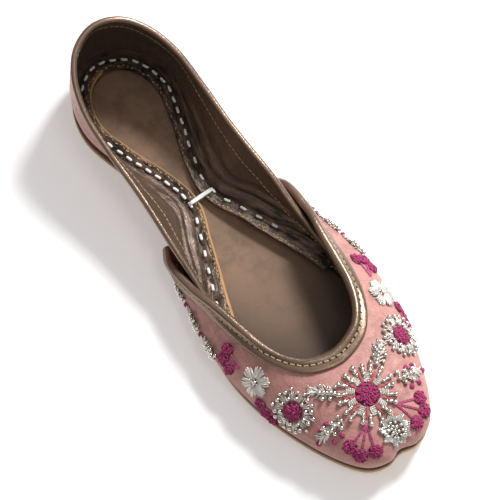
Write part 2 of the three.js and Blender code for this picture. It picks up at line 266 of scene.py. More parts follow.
def ribs(values, t):
    """The outer face of a sheet: one rib for each t, from its margin to its top edge."""
    point, inward = outline(t, SEAM_SET_IN + values[:, SET_IN])
    stitch, flap, step = values[:, STITCH], values[:, FLAP], values[:, STEP]

    def place(inside, up):
        x = point[:, 0] + inward[:, 0] * inside
        y = point[:, 1] + inward[:, 1] * inside
        return np.stack([x, y, SOLE_TOP + values[:, LIFT] + up + spring(x)], axis=1)

    points = []
    for k in range(SEAM):
        rest = 1 - k / FLAP_POINTS
        points.append(place(stitch + flap * rest, step + EDGE_RISE * rest))
    turn = np.minimum(stitch - 0.4, BEND_RADIUS + 2.4)
    for share in TURN_SHARES:
        points.append(place(turn + (BEND_RADIUS - turn) * share, step * (1 - share)))
    for k in range(BEND_POINTS):
        angle = math.pi / 2 * k / BEND_POINTS
        inside, up = 1 - math.sin(angle), 1 - math.cos(angle)
        points.append(place(BEND_RADIUS * inside, BEND_RADIUS * up))
    foot, collar = place(0, BEND_RADIUS), values[:, :3]
    lower = place(-values[:, OUT], BEND_RADIUS + values[:, RISE])
    upper = collar.copy()
    upper[:, Z] -= values[:, FALL]
    upper[:, :2] += unit((foot - collar)[:, :2]) * values[:, REACH, None]
    for k in range(WALL_POINTS + 1):
        s = k / WALL_POINTS
        points.append(
            (1 - s) ** 3 * foot
            + 3 * s * (1 - s) ** 2 * lower
            + 3 * s**2 * (1 - s) * upper
            + s**3 * collar
        )
    return np.stack(points, axis=1)


def grid_normals(grid):
    """Outward directions of a grid's points."""
    last, top = len(grid) - 1, grid.shape[1] - 1
    rows, columns = np.arange(last + 1), np.arange(top + 1)
    along = grid[np.minimum(rows + 1, last)] - grid[np.maximum(rows - 1, 0)]
    up = grid[:, np.minimum(columns + 1, top)] - grid[:, np.maximum(columns - 1, 0)]
    return unit(np.cross(up, along))


def lengths_along(line):
    """The distance of each point of a line from its first point."""
    steps = np.linalg.norm(np.diff(line, axis=0), axis=1)
    return np.concatenate([[0], np.cumsum(steps)])


def read_off(at, run, line):
    """Points or directions of a line at distances along it."""
    return np.stack([np.interp(at, run, line[:, axis]) for axis in range(3)], axis=-1)


def crease_depths(t, heights, creases):
    """How far each point of a sheet moves in or out at the creases."""
    moved = np.zeros_like(heights)
    across = t[:, None] * RIB_PITCH
    for start, low, end, high, width, depth, sway in creases:
        run = np.array([(end - start) * RIB_PITCH, high - low])
        length = np.hypot(*run)
        run /= length
        dx, dy = across - start * RIB_PITCH, heights - low
        share = np.clip((dx * run[0] + dy * run[1]) / length, 0, 1)
        aside = dx * run[1] - dy * run[0] + sway * np.sin(share * 2 * math.pi)
        beyond = dx * run[0] + dy * run[1] - share * length
        taper = np.sin(np.pi * (0.12 + 0.76 * share))
        moved += depth * taper * np.exp(-(aside**2 + beyond**2) / width**2)
    return moved


def stitch_places(total, has_heel):
    """Distances along a seam where its stitches lie, closer round the heel."""
    places, at = [], total / 2 % CLOSE_PITCH + 2.0
    while at < total - 2:
        places.append(at)
        at_heel = has_heel and abs(at / total - 0.5) * 2 < HEEL_SHARE
        at += CLOSE_PITCH if at_heel else WIDE_PITCH
    return np.array(places)


def sheet(rows, creases, thickness, skives, middle, first, last):
    """A sheet's finished faces: outer and inner grid, with the places of its stitches."""
    t = np.linspace(first, last, (last - first) * STEPS + 1)
    past_start, past_end = 2 * rows[0] - rows[1], 2 * rows[-1] - rows[-2]
    outer = ribs(spline(np.vstack([past_start, rows, past_end]), t - first), t)
    normals = grid_normals(outer)
    heights = np.zeros(outer.shape[:2])
    heights[:, 1:] = np.cumsum(np.linalg.norm(np.diff(outer, axis=1), axis=2), axis=1)
    heights -= heights[:, FOOT : FOOT + 1]
    at_heel = middle == 0
    one_side = middle + np.abs(t - middle) * (1 if at_heel else -1)
    moved = crease_depths(one_side, heights, creases)
    first_side, fade_low, fade_high = 0.8, 3.0, 7.0
    moved *= np.where(t >= middle, 1.0, first_side)[:, None]
    moved *= np.clip(heights / fade_low, 0, 1)
    moved *= np.clip((heights[:, -1:] - heights) / fade_high, 0, 1)
    inner = outer - normals * thickness
    run = lengths_along(inner[:, SEAM])
    places = stitch_places(run[-1], at_heel)
    off = heights - heights[:, SEAM : SEAM + 1]
    dents = np.zeros(outer.shape[:2])
    for at in places:
        dents += np.exp(-(((run - at) / DENT_LENGTH)[:, None] ** 2 + (off / DENT_WIDTH) ** 2))
    between = np.cos((run[:, None] - off * 0.3) * 2 * math.pi / PUCKER_PITCH)
    pucker = np.exp(-((off / PUCKER_WIDTH) ** 2)) * (0.35 + 0.45 * between)
    inner = inner - normals * (PUCKER * pucker - DENT * dents)[:, :, None]
    outer, inner = outer + normals * moved[:, :, None], inner + normals * moved[:, :, None]
    skive = np.where(t >= middle, *skives)[:, None]
    pared = inner[:, FLAP_POINTS] - inner[:, 0]
    for k in range(FLAP_POINTS):
        inner[:, k] += pared * skive * (1 - k / FLAP_POINTS)
    return {
        "t": t, "outer": outer, "inner": inner, "normals": normals, "heights": heights,
        "places": places, "run": run,
    }


def vamp_sheet():
    rows = np.vstack([VAMP, mirrored(VAMP)[-2::-1]])
    end = 2 * TOE - VAMP_FIRST
    return sheet(rows, VAMP_CREASES, VAMP_THICKNESS, SKIVE_VAMP, TOE, VAMP_FIRST, end)


def quarter_sheet():
    rows = np.vstack([mirrored(QUARTER)[:0:-1], QUARTER])
    end = len(QUARTER) - 1
    return sheet(rows, QUARTER_CREASES, QUARTER_THICKNESS, SKIVE_QUARTER, 0, -end, end)


def down_face(made, distances, of="outer"):
    """Points on a sheet's face at distances down from the top edge, with directions."""
    grid, normals, heights = made[of], made["normals"], made["heights"]
    down = heights[:, -1:] - heights
    points = np.empty((len(grid), len(distances), 3))
    turned = np.empty_like(points)
    from_top = slice(None, FOOT - 1, -1)
    above = np.minimum(distances, 0)[:, None]
    for i in range(len(grid)):
        d, g, n = down[i][from_top], grid[i][from_top], normals[i][from_top]
        points[i] = read_off(distances, d, g) - above * unit(g[0] - g[1])
        turned[i] = read_off(distances, d, n)
    return points, unit(turned)


def row_inside(made, down):
    """A line inside a sheet, at a distance down from its top edge, with directions."""
    points, turned = down_face(made, [down], of="inner")
    return points[:, 0], -turned[:, 0]


# Meshes


def quads(a, b, c, d):
    """Faces from four arrays of point numbers."""
    return np.stack([a, b, c, d], axis=-1).reshape(-1, 4)


def new_piece(name, points, faces, uvs, materials, face_materials=None):
    """A smooth mesh object from points in metres, with a UV for each point."""
    mesh = bpy.data.meshes.new(name)
    mesh.from_pydata([tuple(p) for p in points], [], [tuple(f) for f in faces])
    for material in materials:
        mesh.materials.append(material)
    layer = mesh.uv_layers.new(name="UVMap")
    corners = np.empty(len(mesh.loops), dtype=np.int32)
    mesh.loops.foreach_get("vertex_index", corners)
    layer.data.foreach_set("uv", np.asarray(uvs, dtype=np.float32)[corners].ravel())
    if face_materials is not None:
        mesh.polygons.foreach_set("material_index", np.asarray(face_materials, np.int32))
    mesh.polygons.foreach_set("use_smooth", np.full(len(mesh.polygons), True))
    mesh.validate()
    mesh.update()
    piece = bpy.data.objects.new(name, mesh)
    bpy.context.scene.collection.objects.link(piece)
    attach(piece, "root")
    return piece


def sheet_piece(name, made, materials, shaded_side):
    """One closed leather or satin sheet: outer face, inner face and cut edges. Where the
    ribs of a margin lie on the shoe's shaded side, its cut edge has the inner face's dark
    colour as painted shade."""
    outer, inner = made["outer"], made["inner"]
    count, points = outer.shape[:2]
    u = np.repeat(made["run"][:, None], points, axis=1)
    uv = np.stack([u, made["heights"]], axis=2).reshape(-1, 2) * MM
    total = count * points
    index = np.arange(total).reshape(count, points)
    i, j = slice(0, -1), slice(1, None)
    face = quads(index[i, i], index[i, j], index[j, j], index[j, i])
    back = quads(index[i, i], index[j, i], index[j, j], index[i, j]) + total
    edges = []
    for line, turned in ((index[:, 0], 0), (index[:, -1], 1), (index[0], 1), (index[-1], 0)):
        strip = quads(line[i], line[j], line[j] + total, line[i] + total)
        edges.append(strip[:, [0, 3, 2, 1]] if turned else strip)
    edge = np.vstack(edges)
    kinds = np.repeat([0, 1, 2], [len(face), len(back), len(edge)])
    # The shaded side's cut edges take the inner face's material: painted shade
    kinds[len(face) + len(back) :][: count - 1][shaded_side[:-1]] = 1
    both = in_frame(np.vstack([outer.reshape(-1, 3), inner.reshape(-1, 3)]))
    faces = np.vstack([face, back, edge])
    piece = new_piece(name, both, faces, np.vstack([uv, uv]), materials, kinds)
    sharpen(piece, 55)
    return piece


def only(piece):
    """Selects one piece alone."""
    bpy.ops.object.select_all(action="DESELECT")
    piece.select_set(True)
    bpy.context.view_layer.objects.active = piece


def sharpen(piece, degrees):
    """Smooth faces with crisp edges past an angle."""
    only(piece)
    bpy.ops.object.shade_smooth_by_angle(angle=math.radians(degrees))


def finish_with(piece, kind, **settings):
    """Adds a modifier, sets it and applies it."""
    only(piece)
    modifier = piece.modifiers.new(kind.title(), kind)
    for key, value in settings.items():
        setattr(modifier, key, value)
    bpy.ops.object.modifier_apply(modifier=modifier.name)


# Materials


class Nodes:
    """A node tree and the calls that add to it; each takes numbers, colours or sockets."""

    def __init__(self, tree):
        self.tree = tree

    def give(self, socket, value):
        """Sets a socket, or links another one to it."""
        if isinstance(value, bpy.types.NodeSocket):
            self.tree.links.new(value, socket)
        else:
            socket.default_value = value

    def fill(self, node, inputs):
        """A node with its named inputs given."""
        for key, value in inputs.items():
            self.give(node.inputs[key.replace("_", " ")], value)
        return node

    def add(self, kind, feature=None, **inputs):
        """A shader node of that kind with its named inputs given."""
        node = self.tree.nodes.new("ShaderNode" + kind)
        if feature:
            node.feature = feature
        return self.fill(node, inputs)

    def group(self, name, **inputs):
        """The outputs of a shared group, which is built the first time."""
        node = self.tree.nodes.new("ShaderNodeGroup")
        node.node_tree = bpy.data.node_groups.get(name) or GROUPS[name](name)
        return self.fill(node, inputs).outputs

    def maths(self, operation, a, b=0.0, clamp=False):
        """One step of arithmetic."""
        node = self.tree.nodes.new("ShaderNodeMath")
        node.operation, node.use_clamp = operation, clamp
        self.give(node.inputs[0], a)
        self.give(node.inputs[1], b)
        return node.outputs[0]

    def times(self, a, b, clamp=False):
        return self.maths("MULTIPLY", a, b, clamp)

    def less(self, a, b, clamp=False):
        return self.maths("SUBTRACT", a, b, clamp)

    def squared(self, value, gain):
        """A value times a gain, squared."""
        return self.maths("POWER", self.times(value, gain), 2.0)

    def raised(self, value, gain, base):
        """A value times a gain, on top of a base."""
        total = self.maths("MULTIPLY_ADD", value, gain)
        self.give(total.node.inputs[2], base)
        return total

    def past(self, value, start, gain):
        """How far a value is past a start, times a gain, between 0 and 1."""
        return self.times(self.less(value, start), gain, True)

    def short_of(self, value, end, gain):
        """How far a value is short of an end, times a gain, between 0 and 1."""
        return self.times(self.less(end, value), gain, True)

    def mix(self, share, a, b):
        """Two colours mixed by a share."""
        node = self.tree.nodes.new("ShaderNodeMix")
        node.data_type = "RGBA"
        for socket, value in zip((node.inputs[k] for k in (0, 6, 7)), (share, a, b)):
            self.give(socket, value)
        return node.outputs[2]

    def noise(self, place, scale, **more):
        """Noise between 0 and 1."""
        return self.add("TexNoise", Vector=place, Scale=scale, **more).outputs[0]

    def drawn_out(self, place, *scale, **more):
        """Noise stretched along the axes."""
        at = self.add("Mapping", Vector=place, Scale=scale).outputs[0]
        return self.noise(at, 1.0, **more)

    def parts(self, place):
        """The x, y and z of a place."""
        return self.add("SeparateXYZ", Vector=place).outputs


class Finish(Nodes):
    """A new material with the shader's plain values set, made in tones of one colour."""

    def __init__(self, name, colour, **settings):
        self.material = bpy.data.materials.new(name)
        self.material.use_nodes = True
        super().__init__(self.material.node_tree)
        self.colour = colour
        self.shader = self.fill(self.tree.nodes["Principled BSDF"], settings)
        place = self.add("TexCoord").outputs
        self.place, self.uv = place["Object"], place["UV"]

    def tone(self, factor):
        """The colour made darker or lighter, with its alpha."""
        return (*(min(1.0, c * factor) for c in self.colour), 1.0)

    def tones(self, share, low, high):
        """Two tones mixed by a share."""
        return self.mix(share, self.tone(low), self.tone(high))

    def feed(self, colour, roughness=None, height=None, depth=0.0):
        """Links a colour, a roughness and a height to the shader."""
        self.give(self.shader.inputs["Base Color"], colour)
        if roughness is not None:
            self.give(self.shader.inputs["Roughness"], roughness)
        if height is not None:
            bump = self.add("Bump", Height=height, Distance=depth)
            self.give(self.shader.inputs["Normal"], bump.outputs[0])
        return self.material


def new_group(name, values, masks):
    """An empty node group that takes a place and named values and puts out masks."""
    group = bpy.data.node_groups.new(name, "ShaderNodeTree")
    group.interface.new_socket(name="Vector", in_out="INPUT", socket_type="NodeSocketVector")
    for label, default in values.items():
        socket = group.interface.new_socket(
            name=label, in_out="INPUT", socket_type="NodeSocketFloat"
        )
        socket.default_value = default
    for label in masks:
        group.interface.new_socket(name=label, in_out="OUTPUT", socket_type="NodeSocketFloat")
    given = group.nodes.new("NodeGroupInput").outputs
    return Nodes(group), given, group.nodes.new("NodeGroupOutput").inputs


def leather_grain_group(name):
    """Pebbled grain, pores and fine creases of leather."""
    sizes = {"Pebble": 900.0, "Wrinkle": 90.0, "Wrinkle depth": 0.6}
    nodes, given, out = new_group(name, sizes, ("Height", "Mottle", "Worn"))
    place = given["Vector"]
    pebble = nodes.add(
        "TexVoronoi", "SMOOTH_F1", Vector=place, Scale=given["Pebble"], Smoothness=0.6
    )
    fine = nodes.noise(place, given["Wrinkle"], Detail=5.0, Roughness=0.62, Distortion=1.4)
    soft = nodes.noise(place, 38.0, Detail=3.0)
    line = nodes.times(nodes.maths("ABSOLUTE", nodes.less(fine, 0.5)), 5.0, True)
    wrinkle = nodes.times(line, given["Wrinkle depth"])
    nodes.give(out["Height"], nodes.raised(pebble.outputs[0], 0.35, wrinkle))
    nodes.give(out["Mottle"], soft)
    nodes.give(out["Worn"], nodes.past(soft, 0.45, 4.0))
    return nodes.tree


def thread_twist_group(name):
    """Slanting strands of a twisted thread, from a piece's own UV map, and a mask for
    painted shade at its foot.
    """
    nodes, given, out = new_group(name, {"Turns": 6.0}, ("Height", "Groove", "Foot shade"))
    along, up, _ = nodes.parts(given["Vector"])
    turn = nodes.times(nodes.times(along, given["Turns"]), 2 * math.pi)
    height = nodes.raised(nodes.maths("SINE", turn), 0.5, 0.5)
    nodes.give(out["Height"], height)
    nodes.give(out["Groove"], nodes.less(1.0, height))
    # Towards the bottom of each copy: the mask for painted shade at its foot
    nodes.give(out["Foot shade"], nodes.short_of(up, 0.2, 1.6))
    return nodes.tree


GROUPS = {"Leather grain": leather_grain_group, "Thread twist": thread_twist_group}


def leather_material(name, colour, metallic, roughness, grain_sizes, depth, sewn):
    """Metallic-finished leather: soft mottling, grain and a light wear on its ridges. One
    that is sewn has folds along its seam, with painted shade in their hollows and painted
    highlight on their crests; the other has painted shade towards its sides and its toe."""
    coat, specular = (0.12, 0.5) if sewn else (0.0, 0.3)
    look = Finish(
        name, colour, Metallic=metallic, Coat_Weight=coat, Coat_Roughness=0.35,
        Specular_IOR_Level=specular,
    )
    pebble, wrinkle, wrinkle_depth = grain_sizes
    grain = look.group(
        "Leather grain", Vector=look.place, Pebble=pebble, Wrinkle=wrinkle,
        Wrinkle_depth=wrinkle_depth,
    )
    height = grain["Height"]
    mottled = look.tones(grain["Mottle"], 0.72, 1.28)
    worn = look.mix(grain["Worn"], mottled, look.tone(1.5))
    base = look.mix(look.times(height, 0.5, True), mottled, worn)
    rough = look.raised(grain["Mottle"], 0.18, roughness - 0.09)
    if sewn:
        near = look.less(1.0, look.times(look.parts(look.uv)[1], 70.0), True)
        folds = look.drawn_out(look.uv, 95.0, 520.0, 1.0, Detail=4.0, Distortion=0.6)
        height = look.maths("ADD", height, look.times(look.times(folds, near), 3.2))
        # Painted shade in the fold hollows and painted highlight on their crests, near the
        # seam
        for fold, factor in ((look.less(0.56, folds), 0.16), (look.less(folds, 0.56), 1.7)):
            share = look.times(look.times(fold, near), 5.0, True)
            base = look.mix(share, base, look.tone(factor))
    else:
        # Painted shade: the insole darkens towards its sides and its toe, where the walls and
        # the vamp shade it
        x, y, _ = look.parts(look.place)
        front = look.times(look.maths("ADD", x, 0.02), 13.0, True)
        wall_shade = look.maths("ADD", look.squared(y, 28.0), look.maths("POWER", front, 1.6))
        base = look.mix(look.times(wall_shade, 0.95, True), base, look.tone(0.26))
        smudge = look.noise(look.place, 85.0, Detail=7.0, Roughness=0.65)
        base = look.mix(look.short_of(smudge, 0.56, 2.6), base, look.tone(0.38))
    return look.feed(base, rough, height, depth)


def satin_material(name, colour):
    """Satin: a fine warp-faced weave, slubs and soft crushing, with painted shade in the
    crush's hollows and painted highlight on its crests, and a broad sheen.
    """
    look = Finish(
        name, colour, Sheen_Weight=0.06, Sheen_Roughness=0.35,
        Sheen_Tint=(1.0, 0.86, 0.84, 1.0), Specular_IOR_Level=0.34,
    )
    weave = look.drawn_out(look.uv, 700.0, 2600.0, 1.0, Detail=2.0)
    slub = look.drawn_out(look.uv, 60.0, 900.0, 1.0, Detail=3.0)
    crush = look.noise(look.place, 150.0, Detail=3.0, Roughness=0.45, Distortion=0.5)
    broad = look.noise(look.place, 34.0, Detail=2.0)
    grain = look.noise(look.place, 1300.0, Detail=1.0)
    # The crush's hollows are painted darker and its crests lighter: painted shade and painted
    # highlight
    base = look.tones(look.past(crush, 0.35, 2.6), 0.55, 1.08)
    base = look.mix(look.past(broad, 0.3, 2.4), look.tone(0.86), base)
    base = look.mix(look.past(slub, 0.55, 3.0), base, look.tone(1.12))
    base = look.mix(look.past(grain, 0.4, 3.0), look.mix(0.3, base, look.tone(0.3)), base)
    height = look.raised(crush, 1.0, look.times(weave, 0.25))
    return look.feed(base, look.raised(slub, 0.16, 0.36), height, 0.0006)


def raw_edge_material(name, colour):
    """The cut edge of vegetable-tanned leather: layered fibres and burnished patches."""
    look = Finish(name, colour, Roughness=0.62)
    fibre = look.drawn_out(look.place, 160.0, 160.0, 2200.0, Detail=4.0)
    patch = look.noise(look.place, 55.0, Detail=2.0)
    base = look.mix(patch, look.tones(fibre, 0.62, 1.3), look.tone(0.95))
    return look.feed(base, None, fibre, 0.0002)


def sole_material(name, colour):
    """Sole leather: a burnished edge over a scuffed, fibrous underside. Above a thin line at
    its foot the edge is darkened, partly as burnish and partly as painted shade under the
    satin.
    """
    look = Finish(name, colour, Coat_Weight=0.1)
    layers = look.drawn_out(look.place, 18.0, 150.0, 900.0, Detail=4.0)
    scuff = look.noise(look.place, 48.0, Detail=6.0, Roughness=0.7)
    x, _, z = look.parts(look.place)
    under = look.short_of(z, 0.0012, 1200)
    base = look.mix(under, look.tones(layers, 0.6, 1.25), look.tones(scuff, 0.45, 1.1))
    # Above a thin line at its foot the sole's edge is darkened: partly burnish, partly painted
    # shade under the satin
    rise = look.past(x, SPRING_START * MM, 1 / (SPRING_LENGTH * MM))
    rise = look.times(look.maths("POWER", rise, 2.0), TOE_SPRING * MM)
    burnish_and_shade = look.past(look.less(z, rise), 0.0024, 1100.0)
    base = look.mix(look.times(burnish_and_shade, 0.85), base, look.tone(0.16))
    return look.feed(base, look.raised(scuff, 0.3, 0.34), scuff, 0.0003)


def binding_material(name, colour, stitched):
    """Rolled leather edge: fine grain and, if stitched, a groove of pierced holes, with
    painted shade in the groove and in the holes.
    """
    look = Finish(name, colour, Metallic=0.7, Coat_Weight=0.2, Coat_Roughness=0.2)
    grain = look.group(
        "Leather grain", Vector=look.place, Pebble=1300.0, Wrinkle=150.0, Wrinkle_depth=0.35
    )
    base, height = look.tones(grain["Mottle"], 0.78, 1.25), grain["Height"]
    if stitched:
        hole_length, hole_width, groove_width = 0.0005, 0.0006, 0.0009
        pitch = bpy.context.scene.mojari_sizes.machine_pitch
        u, v, _ = look.parts(look.uv)
        across = look.maths("ABSOLUTE", v)
        step = look.maths("FRACT", look.maths("DIVIDE", u, pitch))
        step = look.maths("ABSOLUTE", look.less(step, 0.5))
        reach = look.squared(look.times(look.less(0.5, step), pitch), 1 / hole_length)
        wide = look.squared(across, 1 / hole_width)
        hole = look.less(1.25, look.maths("ADD", reach, wide), True)
        # Painted shade: the groove is darkened, and the holes are nearly black
        groove = look.less(1.0, look.times(across, 1 / groove_width), True)
        base = look.mix(look.times(groove, 0.7), base, look.tone(0.28))
        base = look.mix(hole, base, look.tone(0.03))
        height = look.less(height, look.times(hole, 3.0))
    return look.feed(base, look.raised(grain["Mottle"], 0.2, 0.20), height, 0.00014)


def thread_material(name, colour, turns, sheen, groove=0.5):
    """Twisted thread with painted shade in the grooves between its strands and at its foot."""
    look = Finish(name, colour, Roughness=0.6, Sheen_Weight=sheen)
    look.fill(look.shader, {"Sheen Tint": look.tone(1.8)})
    twist = look.group("Thread twist", Vector=look.uv, Turns=turns)
    base = look.tones(look.noise(look.place, 420.0, Detail=2.0), 0.7, 1.35)
    # Painted shade: darker in the grooves between strands and towards the foot of each copy
    base = look.mix(look.times(twist["Groove"], groove), base, look.tone(0.35))
    base = look.mix(twist["Foot shade"], base, look.tone(0.22))
    return look.feed(base, None, twist["Height"], 0.00025 * groove)


def silver_material(name, colour, coiled, roughness):
    """Silver-plated metal; coiled wire shows its turns as fine rings, with painted shade
    between them. Each copy has painted shade at its foot.
    """
    look = Finish(name, colour, Metallic=0.7 if coiled else 1.0)
    tarnish = look.noise(look.place, 260.0, Detail=3.0)
    base = look.tones(tarnish, 0.8, 1.15)
    rings = look.group("Thread twist", Vector=look.uv, Turns=12.0)
    # The dark colour painted at each copy's foot as shade
    height, shade_colour = None, (0.14, 0.10, 0.10, 1.0)
    if coiled:
        height, shade_colour = rings["Height"], (0.22, 0.13, 0.10, 1.0)
        # Painted shade between the coil's turns
        base = look.mix(look.times(rings["Groove"], 0.35), base, look.tone(0.45))
    base = look.mix(look.times(rings["Foot shade"], 0.8), base, shade_colour)
    return look.feed(base, look.raised(tarnish, 0.12, roughness), height, 0.00006)


def glass_material(name, colour):
    """Glass seed beads lined with silver."""
    look = Finish(
        name, colour, Metallic=0.55, IOR=1.5, Coat_Weight=1.0, Coat_Roughness=0.03
    )
    inside = look.noise(look.place, 700.0, Detail=2.0)
    base = look.mix(inside, (0.22, 0.20, 0.17, 1.0), look.tone(1.0))
    # Painted shade at the foot of each bead
    foot = look.group("Thread twist", Vector=look.uv)["Foot shade"]
    base = look.mix(foot, base, (0.16, 0.12, 0.10, 1.0))
    return look.feed(base, look.raised(inside, 0.3, 0.05), inside, 0.00025)


def material_of(name):
    """The shoe's material of that name, made the first time."""
    colours = bpy.context.scene.mojari_colours
    magenta = colours.magenta
    coarse, smooth = (1000.0, 130.0, 1.0), (1500.0, 60.0, 0.15)
    finishes = {
        "crushed_satin": (satin_material, colours.satin),
        "bronze_leather": (
            leather_material, colours.leather, 0.45, 0.40, coarse, 0.0002, True,
        ),
        "smooth_insole": (
            leather_material, colours.insole, 0.0, 0.58, smooth, 0.00004, False,
        ),
        "cut_edge": (raw_edge_material, colours.raw),
        "tanned_sole": (sole_material, colours.sole),
        "stitched_binding": (binding_material, colours.binding, True),
        "plain_binding": (binding_material, colours.binding, False),
        "magenta_floss": (thread_material, magenta, 3.0, 0.5),
        # A dark floss for the dome under the knots: painted shade
        "shaded_floss": (thread_material, [c * 0.3 for c in magenta], 3.0, 0.1),
        "mauve_floss": (
            thread_material, [min(c * 1.05 + 0.045, 1) for c in magenta], 3.0, 0.5,
        ),
        "coral_floss": (thread_material, colours.coral, 3.0, 0.4),
        "cotton_thread": (thread_material, colours.cotton, 2.0, 0.3, 0.12),
        "machine_thread": (thread_material, colours.tan, 3.0, 0.2),
        "coiled_silver": (silver_material, colours.silver, True, 0.30),
        "silver_plate": (silver_material, colours.silver, False, 0.12),
        "lined_glass": (glass_material, (0.90, 0.88, 0.80)),
    }
    make, *facts = finishes[name]
    return bpy.data.materials.get(name) or make(name, *facts)


# Small things: one master each, copied to its places


def pattern_mesh(kind):
    """Points, faces and UVs of one master, about one unit long."""
    bpy.ops.object.select_all(action="DESELECT")
    lying = (0, math.pi / 2, 0)
    if kind == "bead":
        bpy.ops.mesh.primitive_uv_sphere_add(segments=10, ring_count=7, radius=0.5)
    elif kind == "bugle":
        bpy.ops.mesh.primitive_cylinder_add(vertices=9, radius=0.5, depth=1, rotation=lying)
    elif kind == "knot":
        bpy.ops.mesh.primitive_torus_add(
            major_segments=9, minor_segments=6, major_radius=0.31, minor_radius=0.18
        )
    else:
        bpy.ops.mesh.primitive_uv_sphere_add(
            segments=6, ring_count=8, radius=0.5, rotation=lying
        )
    master = bpy.context.active_object
    bpy.ops.object.transform_apply(location=True, rotation=True, scale=True)
    if kind == "bugle":
        finish_with(master, "BEVEL", width=0.12, segments=1, limit_method="ANGLE")
    if kind == "strand":  # fuller towards its ends than a ball
        for vertex in master.data.vertices:
            x = vertex.co.x * 2
            ball = max(0.0, 1 - x * x) ** 0.5
            full = max(0.0, 1 - x**6) ** 0.5
            if ball > 1e-4:
                vertex.co.y *= full / ball
                vertex.co.z *= full / ball
    mesh = master.data
    points = np.array([v.co for v in mesh.vertices])
    faces = [tuple(p.vertices) for p in mesh.polygons]
    round_it = np.arctan2(points[:, 1], points[:, 0]) / (2 * math.pi)
    along = round_it if kind == "knot" else points[:, 0] + 0.5 + points[:, 1] * 0.3
    # The second UV coordinate is the height up the master, which the finishes use for painted
    # shade at each copy's foot
    uvs = np.stack([along, points[:, 2] / np.ptp(points[:, 2])], axis=1)
    bpy.data.objects.remove(master)
    bpy.data.meshes.remove(mesh)
    return points, faces, uvs


def sewn_copies(name, kind, places, material, arch=0.0):
    """Copies of one master joined as a piece. A place is a point, a direction along, a
    direction up, all in metres, and the copy's length, width and height."""
    if not places:
        raise RuntimeError(f"{name} has no places")
    points, faces, uvs = pattern_mesh(kind)
    all_points, all_faces, all_uvs = [], [], []
    for k, (at, along, up, size) in enumerate(places):
        up = unit(np.asarray(up, float))
        along = np.asarray(along, float)
        along = unit(along - up * along.dot(up))
        side = np.cross(up, along)
        local = points * np.asarray(size)
        local[:, 2] += arch * size[0] * (1 - (2 * points[:, 0]) ** 2)
        all_points.append(at + local[:, :1] * along + local[:, 1:2] * side + local[:, 2:] * up)
        start = k * len(points)
        all_faces.extend(tuple(i + start for i in face) for face in faces)
        all_uvs.append(uvs + np.array([k * 0.37, 0]))
    piece = new_piece(
        name, np.vstack(all_points), all_faces, np.vstack(all_uvs), [material_of(material)]
    )
    return piece


class Skin:
    """The satin's outer face, to sew on."""

    def __init__(self):
        grid = in_frame(vamp_sheet()["outer"])[:, FOOT - 3 :]
        index = np.arange(grid[:, :, 0].size).reshape(grid.shape[:2])
        faces = quads(index[:-1, :-1], index[:-1, 1:], index[1:, 1:], index[1:, :-1])
        self.tree = BVHTree.FromPolygons(
            [Vector(p) for p in grid.reshape(-1, 3)], [tuple(map(int, f)) for f in faces]
        )

    def touch(self, point):
        """The nearest point of the satin and its outward direction."""
        at, normal, _, _ = self.tree.find_nearest(Vector(point))
        return np.array(at), np.array(normal)


class Motif:
    """A piece of embroidery drawn in millimetres round a point of the satin. Its first
    axis leads to the toe and its second one down to the sole."""

    def __init__(self, work, place, side=1):
        self.work = work
        x, y, z = place
        self.centre, normal = work.skin.touch(np.array([x, y * side, z]) * MM)
        self.first = unit(np.array([1.0, 0, 0]) - normal * normal[0])
        self.second = np.cross(normal, self.first) * side

    def sew(self, kind, a, b, angle, size, lift=0.0, tilt=None):
        """Puts one bead, wire, knot or strand at a, b, turned by an angle."""
        point = self.centre + (self.first * a + self.second * b) * MM
        at, normal = self.work.skin.touch(point)
        along = self.first * math.cos(angle) + self.second * math.sin(angle)
        up = normal
        if tilt is not None:
            up = normal + self.first * tilt[0] + self.second * tilt[1]
        self.work.sewn[kind].append((at + normal * lift * MM, along, up, in_metres(size)))

    def polar(self, kind, radius, angle, turned, size, lift=0.0, tilt=None):
        """The same at a radius and an angle, turned from the radius."""
        a, b = radius * math.cos(angle), radius * math.sin(angle)
        self.sew(kind, a, b, angle + turned, size, lift, tilt)

    def bead(self, kind, radius, angle, size, lift):
        """A round bead at a radius and an angle."""
        self.polar(kind, radius, angle, 0, (size,) * 3, lift)


